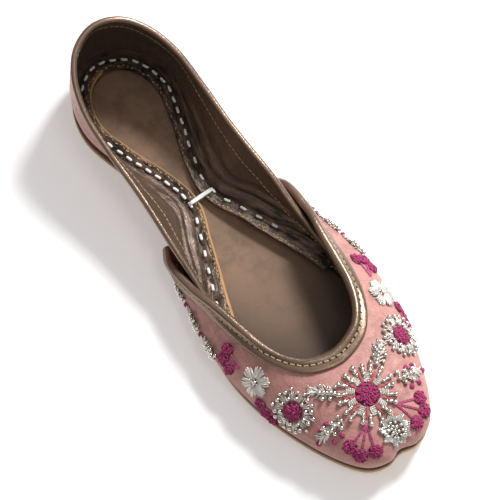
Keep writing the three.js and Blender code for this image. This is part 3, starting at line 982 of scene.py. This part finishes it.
class Needlework:
    """All that is sewn on the satin, by kind."""

    KINDS = ("shade_dome", "knot", "stem", "spoke", "wire", "bugle", "bead", "clear", "tube")
    GOLDEN_ANGLE = 2.39996

    def __init__(self):
        self.skin = Skin()
        self.sewn = {kind: [] for kind in self.KINDS}
        self.chance = random.Random(11)
        sizes = bpy.context.scene.mojari_sizes
        self.bead = sizes.bead / MM
        self.bugle = sizes.bugle / MM
        self.wire = sizes.wire / MM
        self.knot = sizes.knot / MM
        self.stem = sizes.stem / MM

    def some(self, low, high):
        return self.chance.uniform(low, high)

    def knots(self, motif, radius, rise):
        """A round patch of looped knots, crowned in the middle, over a dark dome that stands
        for the shade between them: painted shade.
        """
        # A dark dome under the knots: painted shade in the gaps between them
        motif.sew("shade_dome", 0, 0, 0, (radius * 1.9, radius * 1.9, 1.5 + rise))
        gap = self.knot * 0.57
        count = max(1, round((radius / gap) ** 2 * 1.2))
        for k in range(count):
            share = (k + 0.5) / count
            reach = (radius - self.knot * 0.42) * math.sqrt(share)
            angle = k * self.GOLDEN_ANGLE + self.some(-0.2, 0.2)
            size = self.knot * self.some(0.88, 1.12)
            motif.sew(
                "knot",
                reach * math.cos(angle),
                reach * math.sin(angle),
                self.some(0, 6.28),
                (size * 1.26, size * 0.98, size * 1.5),
                lift=0.45 + rise * (1 - share) + self.some(-0.15, 0.25),
                tilt=(self.some(-0.6, 0.6), self.some(-0.6, 0.6)),
            )

    def strands(self, kind, motif, start, end, spread):
        """Two threads laid side by side from one place to another."""
        (ax, ay), (bx, by) = start, end
        length = math.hypot(bx - ax, by - ay)
        angle = math.atan2(by - ay, bx - ax)
        pieces = max(1, round(length / 4.2))
        for hand in (-0.5, 0.5):
            aside = hand * self.stem * spread
            for p in range(pieces):
                share = (p + 0.5) / pieces
                width = self.stem * self.some(0.9, 1.1)
                motif.sew(
                    kind,
                    ax + (bx - ax) * share - math.sin(angle) * aside,
                    ay + (by - ay) * share + math.cos(angle) * aside,
                    angle + self.some(-0.05, 0.05),
                    (length / pieces * 1.12, width, width),
                    lift=0.18,
                )

    def spoke(self, motif, angle, inner, outer, spread):
        """Threads laid from one radius out to another."""
        ends = ((r * math.cos(angle), r * math.sin(angle)) for r in (inner, outer))
        self.strands("spoke", motif, *ends, spread)

    def bundle(self, motif, radius, angle):
        """Coiled wires laid across the radius, one outside the next."""
        wires, longest = 5, 3.7
        for k in range(wires):
            size = longest * (1 - 0.05 * k) * self.some(0.92, 1.06)
            motif.polar(
                "wire",
                radius + k * self.wire * 0.98,
                angle + self.some(-0.02, 0.02),
                math.pi / 2 + self.some(-0.10, 0.10),
                (size, self.wire, self.wire),
                lift=0.22,
            )

    def stamen(self, motif, radius, angle):
        """A small bead, a bugle and a round bead in line."""
        motif.bead("bead", radius, angle, self.bead * 0.85, 0.6)
        swing = self.some(-0.35, 0.35)
        motif.polar(
            "bugle",
            radius + self.bead * 0.2 + self.bugle * 0.5,
            angle + swing * 0.12,
            swing,
            (self.bugle * self.some(0.85, 1.05), self.bead * 0.84, self.bead * 0.84),
            lift=0.75,
        )
        radius += self.bead * 0.55 + self.bugle
        size = self.bead * self.some(1.1, 1.28)
        motif.bead("bead", radius, angle + swing * 0.16, size, 1.0)

    def great_flower(self):
        """The flower on the toe: knots, nine wire bundles, spokes and stamens."""
        motif = Motif(self, (94.0, 0, 30.8))
        self.knots(motif, 6.1, 1.2)
        for k in range(9):
            angle = math.radians(65 + 40 * k)
            self.bundle(motif, 6.2, angle)
            self.spoke(motif, angle + math.radians(20), 5.6, 11.4, 0.62)
            for swing in (-11.5, 10.5):
                at = angle + math.radians(swing + self.some(-1.5, 1.5))
                self.stamen(motif, 9.7 + self.some(-0.7, 0.5), at)

    def sprig(self, start, end, side, longer):
        """A leaf of wires either side of a midrib of beads."""
        start, end = np.array(start), np.array(end)
        motif = Motif(self, (start + end) / 2, side)
        world = (end - start) * (1, side, 1)
        length = float(np.linalg.norm(world))
        angle = math.atan2(world.dot(motif.second), world.dot(motif.first))
        cos, sin = math.cos(angle), math.sin(angle)
        count = max(3, round(length / 1.9))
        for k in range(count):
            share = (k + 0.5) / count - 0.5
            a, b = cos * share * length, sin * share * length
            lean = 0.55 - 0.12 * share
            if k < count - 1:
                size = self.bead * self.some(1.0, 1.15) * min(1.0, 0.6 + 0.35 * longer)
                for aside in (self.some(-0.4, 0.4), self.some(1.5, 2.6) * (-1) ** k * longer):
                    aa, bb = a - sin * aside, b + cos * aside
                    motif.sew("bead", aa, bb, 0, (size,) * 3, lift=1.35)
                    size *= 0.85
            for hand in (-1, 1):
                for extra in (0.0, 0.33, 0.66):
                    turn = angle + hand * (lean + self.some(-0.5, 0.55))
                    span = (3.6 - 1.2 * abs(share)) * longer * self.some(0.7, 1.25)
                    away, slip = span * 0.52, extra * length / count
                    motif.sew(
                        "wire",
                        a + math.cos(turn) * away + cos * slip,
                        b + math.sin(turn) * away + sin * slip,
                        turn,
                        (span, self.wire * 0.82, self.wire * 0.75),
                        lift=0.25 + 0.6 * extra,
                    )
        tip = length * 0.5 + 0.9
        for swing in (-0.22, 0.0, 0.2):
            size = (3.6 * self.some(0.9, 1.2), self.wire * 0.9, self.wire * 0.9)
            motif.sew("wire", cos * tip, sin * tip, angle + swing, size, lift=0.35)

    def cherries(self, joint, heads, side, radius):
        """Stems that fan from a joint, each with a head of knots."""
        motif = Motif(self, joint, side)
        for head in heads:
            world = np.array([head[0], head[1] * side, head[2]]) * MM - motif.centre
            end = [world.dot(axis) / MM * 0.86 for axis in (motif.first, motif.second)]
            self.strands("stem", motif, (0, 0), end, 0.7)
            self.knots(Motif(self, head, side), radius, 0.7)

    def side_flower(self, side):
        """Knots ringed by beads and wire loops, with short spokes."""
        motif = Motif(self, (78.8, 30.3, 24.3), side)
        self.knots(motif, 4.9, 1.0)
        for k in range(10):
            angle = math.radians(36 * k + 8)
            for swing in (-9.5, -3.2, 3.2, 9.5):
                turn = angle + math.radians(swing + self.some(-1.5, 1.5))
                span = 4.6 * self.some(0.85, 1.1)
                motif.polar(
                    "wire",
                    5.0 + span / 2,
                    turn,
                    self.some(-0.2, 0.2),
                    (span, self.wire * 0.8, self.wire * 0.8),
                    lift=0.35 + 0.3 * self.some(0, 1),
                )
            at = angle + math.radians(18)
            size = self.bead * self.some(0.8, 1.0)
            motif.bead("bead", 6.2 + self.some(-0.3, 0.3), at, size, 0.9)
            size = self.bead * self.some(0.95, 1.15)
            kind = "clear" if k % 3 == 0 else "bead"
            motif.bead(kind, 9.4 + self.some(-0.6, 0.6), at, size, 1.0)
            size = self.bead * self.some(0.8, 1.0)
            motif.bead("bead", 10.2 + self.some(-0.4, 0.6), angle, size, 0.95)
            if k % 2:
                self.spoke(motif, at, 4.6, 7.6, 0.6)

    def silver_flower(self, place, side):
        """Six petals of fanned wires round a bead."""
        motif = Motif(self, place, side)
        for petal in range(6):
            middle = math.radians(60 * petal + 10)
            for k in range(8):
                swing = (k - 3.5) * math.radians(6.9) + self.some(-0.03, 0.03)
                span = 6.4 - 0.10 * (k - 3.5) ** 2 + self.some(-0.3, 0.3)
                motif.polar(
                    "wire",
                    1.5 + span / 2,
                    middle + swing,
                    self.some(-0.08, 0.08) - swing * 0.15,
                    (span, self.wire * 0.88, self.wire * 0.8),
                    lift=0.3 + self.some(0.0, 0.45),
                )
        motif.bead("bead", 0, 0, self.bead * 0.95, 1.2)
        for k in range(5):
            motif.bead("bead", 1.5, 2 * math.pi / 5 * k, self.bead * 0.5, 0.9)

    def glass_flower(self):
        """Scalloped rounds of clear beads about a silver heart."""
        motif = Motif(self, (113.2, 1.2, 24.4))
        for k in range(9):
            angle = math.radians(40 * k)
            for j in range(-2, 3):
                swing = math.radians(8.2 * j + self.some(-1.0, 1.0))
                span = 3.4 - 0.28 * j**2
                motif.polar(
                    "tube",
                    4.1 + span / 2,
                    angle + swing,
                    self.some(-0.15, 0.15) - swing * 0.6,
                    (span, self.bead * 0.52, self.bead * 0.52),
                    lift=0.6 + self.some(0, 0.4),
                )
            size = self.bead * self.some(0.6, 0.8)
            motif.bead("clear", 7.4, angle + self.some(-0.2, 0.2), size, 0.9)
        for radius, count in ((3.6, 10), (1.9, 6)):
            for k in range(count):
                size = self.bead * self.some(0.7, 1.0)
                kind = "bead" if k % 3 == 0 else "clear"
                at = 2 * math.pi * k / count + radius + self.some(-0.2, 0.2)
                motif.bead(kind, radius, at, size, 1.0 + self.some(0, 0.4))
        motif.bead("bead", 0, 0, self.bead * 0.9, 1.4)

    def one_knot(self, place, side):
        """A single tight ball of thread."""
        motif = Motif(self, place, side)
        for k in range(4):
            angle = math.pi / 2 * k + self.some(-0.3, 0.3)
            tilt = (math.cos(angle) * 0.8, math.sin(angle) * 0.8)
            motif.polar("knot", 0.5, angle, 0, (2.1, 1.9, 2.6), lift=0.7, tilt=tilt)

    def everything(self):
        """Sews the whole design, the same on both sides of the shoe."""
        self.great_flower()
        self.glass_flower()
        for side in (1, -1):
            self.sprig((85.6, 11.0, 31.6), (78.6, 19.0, 31.0), side, 1.25)
            self.sprig((96.2, 15.0, 28.4), (96.5, 26.0, 22.8), side, 1.4)
            for place in (
                (93.0, 22.2, 26.2), (93.2, 25.6, 24.0), (96.6, 29.0, 19.0),
                (101.3, 23.4, 22.6), (101.6, 19.5, 25.2),
            ):
                self.one_knot(place, side)
            heads = ((107.5, 19.3, 22.9), (113.0, 17.5, 21.0), (115.9, 11.5, 22.5))
            self.cherries((104.6, 8.1, 28.0), heads, side, 3.9)
            self.side_flower(side)
            self.silver_flower((57.0, 35.8, 23.5), side)
            heads = ((65.6, 39.0, 17.0), (69.5, 39.4, 14.5), (74.0, 38.0, 13.0))
            self.cherries((75.0, 36.2, 18.6), heads, side, 3.5)
            heads = ((36.8, 36.8, 22.5), (38.3, 40.0, 19.0), (43.0, 40.5, 18.0))
            self.cherries((47.2, 37.2, 22.7), heads, side, 3.6)
            self.sprig((35.4, 41.9, 15.3), (24.0, 41.0, 15.0), side, 0.8)
            self.one_knot((21.3, 40.2, 14.4), side)
            self.sprig((19.5, 40.0, 14.4), (8.0, 38.0, 14.0), side, 0.8)
            self.one_knot((5.4, 37.4, 13.6), side)
            self.sprig((3.4, 37.0, 14.0), (-7.0, 35.4, 13.5), side, 0.75)
        return self.sewn


_work = {}


def embroidery(kind):
    """The places of one kind of needlework; the whole design is worked out once."""
    if not _work:
        _work.update(Needlework().everything())
    return _work[kind]


# The shoe's pieces


def plate(name, set_in, profile, material):
    """A plate that follows the sole's outline. The profile goes from the underside's
    middle round to the top's middle: each ring's share of the way out from the plate's
    spine to its edge, how far in that edge lies, and the ring's height."""
    steps = 2 * TOE * STEPS
    t = np.arange(steps) / STEPS
    spine = 98.0
    rings = []
    for share, inside, z in profile:
        edge, _ = outline(t, set_in + inside)
        middle = np.clip(edge[:, 0], -spine, spine)
        x = middle + (edge[:, 0] - middle) * share
        rings.append(np.stack([x, edge[:, 1] * share, z + spring(x)], axis=1))
    grid = np.stack(rings, axis=1)
    index = np.arange(steps * len(profile)).reshape(steps, len(profile))
    after = np.roll(index, -1, axis=0)
    faces = quads(index[:, :-1], index[:, 1:], after[:, 1:], after[:, :-1])
    uv = grid[:, :, :2].reshape(-1, 2) * MM
    piece = new_piece(name, in_frame(grid.reshape(-1, 3)), faces, uv, [material_of(material)])
    only(piece)
    bpy.ops.object.mode_set(mode="EDIT")
    bpy.ops.mesh.select_all(action="SELECT")
    bpy.ops.mesh.remove_doubles(threshold=0.00002)
    bpy.ops.mesh.normals_make_consistent(inside=False)
    bpy.ops.object.mode_set(mode="OBJECT")
    sharpen(piece, 40)
    return piece


def binding(name, made, section, groove, tucked, material):
    """A binding's section swept along a sheet's top edge. Its UV map counts from one
    point of the section, the groove, and is cut at another, which the sheet hides."""
    points, normals = down_face(made, section[:, 1])
    rings = points + normals * section[:, 0][None, :, None]
    count, around = rings.shape[:2]
    walked = lengths_along(np.vstack([section, section[:1]]))
    total = walked[-1]
    across = np.mod(walked[:around] - walked[groove], total)
    hidden = total * 0.6 if tucked is None else np.mod(walked[tucked] - walked[groove], total)
    across = np.where(across >= hidden - 1e-6, across - total, across)
    u = np.repeat(lengths_along(rings[:, groove])[:, None], around, axis=1)
    v = np.repeat(across[None, :], count, axis=0)
    uv = np.stack([u, v], axis=2).reshape(-1, 2) * MM
    index = np.arange(count * around).reshape(count, around)
    beside = np.roll(index, -1, axis=1)
    faces = [tuple(f) for f in quads(index[:-1], index[1:], beside[1:], beside[:-1])]
    faces += [tuple(index[0]), tuple(index[-1][::-1])]
    piece = new_piece(name, in_frame(rings.reshape(-1, 3)), faces, uv, [material_of(material)])
    finish_with(piece, "SUBSURF", levels=1, render_levels=1)
    sharpen(piece, 60)
    return piece, rings[:, groove], normals[:, groove]


def along_line(line, normals, places, size, lift, turn=0.0):
    """Places for stitches on a line, at distances along it. Each second one is turned
    the other way."""
    run = lengths_along(line)
    made = []
    for k, at in enumerate(places):
        point = read_off(at, run, line)
        up = unit(read_off(at, run, normals))
        along = unit(read_off(at + 0.6, run, line) - point)
        along = along + np.cross(up, along) * turn * (1 if k % 2 else -1)
        made.append((in_frame(point + up * lift), along, up, in_metres(size)))
    return made


class MOJARI_OT_stage(bpy.types.Operator):
    """Lay the pale floor and set the camera and the lamps"""

    bl_idname = "mojari.stage"
    bl_label = "Stage"
    bl_options = {"REGISTER", "UNDO"}

    def execute(self, context):
        bpy.ops.object.select_all(action="DESELECT")
        bpy.ops.mesh.primitive_plane_add(size=8.0)
        floor = context.active_object
        floor.name = "floor"
        # The floor glows faintly in its own colour: painted light that washes out the shadows
        # cast on it
        look = Finish("floor", (1, 1, 1), Roughness=0.9, Emission_Strength=0.3)
        base = look.tones(look.noise(look.place, 3.0, Detail=1.0), 0.86, 0.9)
        look.give(look.shader.inputs["Emission Color"], base)
        floor.data.materials.append(look.feed(base))
        self.set_camera(context)
        for name, place, size, power in (
            ("key", (-0.35, 1.0, 1.15), 0.40, 35.0),
            ("fill", (-0.9, -0.8, 1.2), 0.5, 0.5),
            ("top", (0.5, 0.1, 1.6), 0.35, 2.2),
        ):
            lamp_data = bpy.data.lights.new(name, "AREA")
            lamp_data.energy = power
            lamp_data.size = size
            self.aim(context, name, lamp_data, Vector(place), -Vector(place))
        world = context.scene.world or bpy.data.worlds.new("studio")
        context.scene.world = world
        world.use_nodes = True
        sky = Nodes(world.node_tree)
        up = sky.parts(sky.add("TexCoord").outputs["Generated"])[2]
        low, high = (0.07, 0.065, 0.06, 1), (0.46, 0.45, 0.445, 1)
        glow = sky.mix(sky.past(up, 0.25, 1.7), low, high)
        sky.fill(sky.tree.nodes["Background"], {"Color": glow, "Strength": 1.0})
        context.scene.view_settings.view_transform = "Standard"
        return {"FINISHED"}

    def aim(self, context, name, data, place, ahead):
        """A camera or a lamp at a place, looking ahead."""
        thing = bpy.data.objects.new(name, data)
        context.scene.collection.objects.link(thing)
        thing.location = place
        thing.rotation_mode = "QUATERNION"
        thing.rotation_quaternion = ahead.to_track_quat("-Z", "Y")
        return thing

    def set_camera(self, context):
        """The camera, far off with a long lens, high above the shoe's side."""
        azimuth, height = math.radians(53.5), math.radians(71)
        seen, sensor, lens = 0.232, 36, 500  # metres seen across the picture, mm, mm
        sin, cos, level = math.sin(azimuth), math.cos(azimuth), math.cos(height)
        back = Vector((sin * level, -cos * level, math.sin(height)))
        right = Vector((cos, sin, 0))
        aside, upwards = 0.0025, 0.0045  # from the shoe's middle to the picture's
        target = right * aside + back.cross(right) * upwards
        data = bpy.data.cameras.new("camera")
        data.sensor_width = sensor
        data.lens = lens
        data.clip_start, data.clip_end = 0.01, 20
        place = target + back * (seen / (sensor / lens))
        context.scene.camera = self.aim(context, "camera", data, place, -back)


class MOJARI_OT_sole(bpy.types.Operator):
    """Make the leather sole and the smooth insole"""

    bl_idname = "mojari.sole"
    bl_label = "Sole"
    bl_options = {"REGISTER", "UNDO"}

    def execute(self, context):
        top = SOLE_THICKNESS
        edge = (
            (0, 0, 0), (0.4, 0, 0), (0.75, 0, 0), (0.95, 0, 0), (1, 1.0, 0), (1, 0.3, 0.1),
            (1, 0.02, 0.55), (1, 0, 1.6), (1, 0, 3.2), (1, 0.05, top - 0.4),
            (1, 0.35, top - 0.06), (1, 1.0, top), (0.95, 0, top), (0.75, 0, top),
            (0.4, 0, top), (0, 0, top),
        )
        sole = plate("sole", 0.0, edge, "tanned_sole")
        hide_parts("outsole")
        low, high = SOLE_TOP, SOLE_TOP + INSOLE_THICKNESS
        inner = (
            (0, 0, low), (0.6, 0, low), (1, 0, low), (1, 0, high - 0.2), (1, 0.3, high),
            (0.9, 0, high), (0.6, 0, high), (0.3, 0, high), (0, 0, high),
        )
        lining = plate("inner_sole", INSOLE_SET_IN, inner, "smooth_insole")
        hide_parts("insole")
        return {"FINISHED"}


class MOJARI_OT_upper(bpy.types.Operator):
    """Make the satin vamp and the leather quarter"""

    bl_idname = "mojari.upper"
    bl_label = "Vamp and quarter"
    bl_options = {"REGISTER", "UNDO"}

    def execute(self, context):
        faces = [material_of(m) for m in ("crushed_satin", "bronze_leather", "cut_edge")]
        made = vamp_sheet()
        # The margins on the shoe's +Y side, here and on the quarter below, lie in shade and
        # get dark cut edges: painted shade
        vamp = sheet_piece("satin_vamp", made, faces, made["t"] < TOE)
        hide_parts("vamp")
        made = quarter_sheet()
        quarter = sheet_piece("leather_quarter", made, faces, made["t"] >= 0)
        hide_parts("quarter")
        return {"FINISHED"}


class MOJARI_OT_bindings(bpy.types.Operator):
    """Make the rolled bindings and their machine stitching"""

    bl_idname = "mojari.bindings"
    bl_label = "Bindings"
    bl_options = {"REGISTER", "UNDO"}

    def execute(self, context):
        vamp, quarter = vamp_sheet(), quarter_sheet()
        rolled, groove, normals = binding(
            "vamp_roll", vamp, VAMP_BINDING, GROOVE, TUCKED, "stitched_binding"
        )
        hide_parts("vamp_binding")
        pitch = context.scene.mojari_sizes.machine_pitch / MM
        places = np.arange(pitch * 0.5, lengths_along(groove)[-1] - 1.0, pitch)
        stitches = along_line(groove, normals, places, (2.5, 0.66, 0.6), 0.2, turn=0.08)
        thin, _, _ = binding(
            "quarter_roll", quarter, QUARTER_BINDING, 0, None, "plain_binding"
        )
        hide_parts("quarter_binding")

        below_edge, pitch, end = 6.6, 2.5, 2.0
        line, up = row_inside(quarter, below_edge)
        places = np.arange(end, lengths_along(line)[-1] - end, pitch)
        stitches += along_line(line, up, places, (1.9, 0.5, 0.42), 0.06, turn=0.06)
        below_edge, pitch, end, wing = 6.2, 2.8, 1.5, 32.0
        line, up = row_inside(vamp, below_edge)
        for start in (end, lengths_along(line)[-1] - wing - end):
            places = np.arange(start, start + wing, pitch)
            stitches += along_line(line, up, places, (2.0, 0.5, 0.45), 0.06, turn=0.06)
        for made in (quarter, vamp):
            stitches += self.scallops(made)
        sewn_copies("machine_stitches", "strand", stitches, "machine_thread")
        return {"FINISHED"}

    def scallops(self, made):
        """Wavy machine stitching along a turned-in margin, set in from its cut edge."""
        set_in, wave_height, wave_length, pitch = 1.1, 0.5, 6.4, 2.25
        margin = made["inner"][:, :SEAM]
        run = lengths_along(margin[:, 0])
        fine = np.arange(1.5, run[-1] - 1.5, 0.3)
        low, high = read_off(fine, run, margin[:, 0]), read_off(fine, run, margin[:, -1])
        wide = np.maximum(np.linalg.norm(high - low, axis=1), 0.1)
        wave = wave_height * np.cos(fine * 2 * math.pi / wave_length)
        share = np.clip((set_in + wave) / wide, 0, 1)
        line = low + (high - low) * share[:, None]
        places = np.arange(1.0, lengths_along(line)[-1] - 1.0, pitch)
        normals = -read_off(fine, run, made["normals"][:, FLAP_POINTS // 2])
        return along_line(line, normals, places, (1.6, 0.58, 0.45), 0.06)


class MOJARI_OT_cotton(bpy.types.Operator):
    """Sew the white stitches at the foot of the walls and the tie across the waist"""

    bl_idname = "mojari.cotton"
    bl_label = "Cotton stitches"
    bl_options = {"REGISTER", "UNDO"}

    def execute(self, context):
        thick = context.scene.mojari_sizes.cotton / MM
        quarter, vamp = quarter_sheet(), vamp_sheet()
        t, seam = quarter["t"], quarter["inner"][:, SEAM]
        rib = int(np.argmin(np.where(t > 0, np.abs(seam[:, 0] - TIE_X), 1e9)))
        tied = [len(t) - 1 - rib, rib]
        near, far = seam[tied]
        stitches, clear_of_tie = [], 2.2
        for made in (quarter, vamp):
            places = made["places"]
            if made is quarter:
                from_tie = np.abs(places[:, None] - made["run"][tied]).min(axis=1)
                places = places[from_tie > clear_of_tie]
            line, up = made["inner"][:, SEAM], -made["normals"][:, SEAM]
            size = (3.4, thick * 1.1, thick)
            stitches += along_line(line, up, places, size, thick * 0.42, turn=0.06)
        sewn_copies("cotton_stitches", "strand", stitches, "cotton_thread", -0.03)

        strands = []
        for aside, lift in ((-0.45, 1.0), (0.45, 1.35)):
            middle = (near + far) / 2 + np.array([aside, 0, lift])
            size = (np.linalg.norm(far - near) + 1.2, thick * 1.05, thick * 1.1)
            strands.append((in_frame(middle), far - near, (0, 0, 1), in_metres(size)))
        sewn_copies("waist_tie", "strand", strands, "cotton_thread")
        return {"FINISHED"}


# The embroidered pieces: what each is made of, its pattern, its material and slot, and
# how far its strands arch, as a share of their length
SEWN_PIECES = {
    # The dark dome under the knots is painted shade
    "magenta_shade_dome": ("shade_dome", "bead", "shaded_floss", "magenta_thread", 0.0),
    "magenta_knots": ("knot", "knot", "magenta_floss", "magenta_thread", 0.0),
    "magenta_stems": ("stem", "strand", "mauve_floss", "magenta_thread", 0.02),
    "coral_spokes": ("spoke", "strand", "coral_floss", "coral_thread", 0.02),
    "silver_wires": ("wire", "strand", "coiled_silver", "silver_wire", 0.09),
    "round_beads": ("bead", "bead", "silver_plate", "silver_bead", 0.0),
    "tube_beads": ("bugle", "bugle", "silver_plate", "silver_bead", 0.0),
    "glass_beads": ("clear", "bead", "lined_glass", "clear_bead", 0.0),
    "glass_tubes": ("tube", "bugle", "lined_glass", "clear_bead", 0.0),
}


def sew_on(*names):
    """Makes some of the embroidered pieces."""
    for name in names:
        work, pattern, material, slot, arch = SEWN_PIECES[name]
        sewn_copies(name, pattern, embroidery(work), material, arch)


class MOJARI_OT_threadwork(bpy.types.Operator):
    """Work the magenta knots and stems and the coral spokes"""

    bl_idname = "mojari.threadwork"
    bl_label = "Thread embroidery"
    bl_options = {"REGISTER", "UNDO"}

    def execute(self, context):
        sew_on("magenta_shade_dome", "magenta_knots", "magenta_stems", "coral_spokes")
        return {"FINISHED"}


class MOJARI_OT_wirework(bpy.types.Operator):
    """Lay the bundles, leaves and petals of coiled silver wire"""

    bl_idname = "mojari.wirework"
    bl_label = "Silver wire"
    bl_options = {"REGISTER", "UNDO"}

    def execute(self, context):
        sew_on("silver_wires")
        return {"FINISHED"}


class MOJARI_OT_beads(bpy.types.Operator):
    """Sew on the round, tube and glass beads"""

    bl_idname = "mojari.beads"
    bl_label = "Beads"
    bl_options = {"REGISTER", "UNDO"}

    def execute(self, context):
        sew_on("round_beads", "tube_beads", "glass_beads", "glass_tubes")
        return {"FINISHED"}


OPERATORS = (
    MOJARI_OT_stage,
    MOJARI_OT_sole,
    MOJARI_OT_upper,
    MOJARI_OT_bindings,
    MOJARI_OT_cotton,
    MOJARI_OT_threadwork,
    MOJARI_OT_wirework,
    MOJARI_OT_beads,
)


class MOJARI_PT_panel(bpy.types.Panel):
    """Sizes, colours and pieces of the shoe"""

    bl_idname = "MOJARI_PT_panel"
    bl_label = "Mojari shoe"
    bl_space_type = "VIEW_3D"
    bl_region_type = "UI"
    bl_category = "Mojari"

    def draw(self, context):
        for owner in (context.scene.mojari_sizes, context.scene.mojari_colours):
            column = self.layout.column(align=True)
            for name in owner.__annotations__:
                column.prop(owner, name)
        for operator in OPERATORS:
            self.layout.operator(operator.bl_idname)


CLASSES = (MojariSizes, MojariColours, *OPERATORS, MOJARI_PT_panel)


def register():
    for each in CLASSES:
        bpy.utils.register_class(each)
    bpy.types.Scene.mojari_sizes = bpy.props.PointerProperty(type=MojariSizes)
    bpy.types.Scene.mojari_colours = bpy.props.PointerProperty(type=MojariColours)


def unregister():
    del bpy.types.Scene.mojari_colours
    del bpy.types.Scene.mojari_sizes
    for each in reversed(CLASSES):
        bpy.utils.unregister_class(each)


def main():
    register()
    bpy.ops.mojari.stage()
    bpy.ops.mojari.sole()
    bpy.ops.mojari.upper()
    bpy.ops.mojari.bindings()
    bpy.ops.mojari.cotton()
    bpy.ops.mojari.threadwork()
    bpy.ops.mojari.wirework()
    bpy.ops.mojari.beads()


if __name__ == "__main__":
    main()
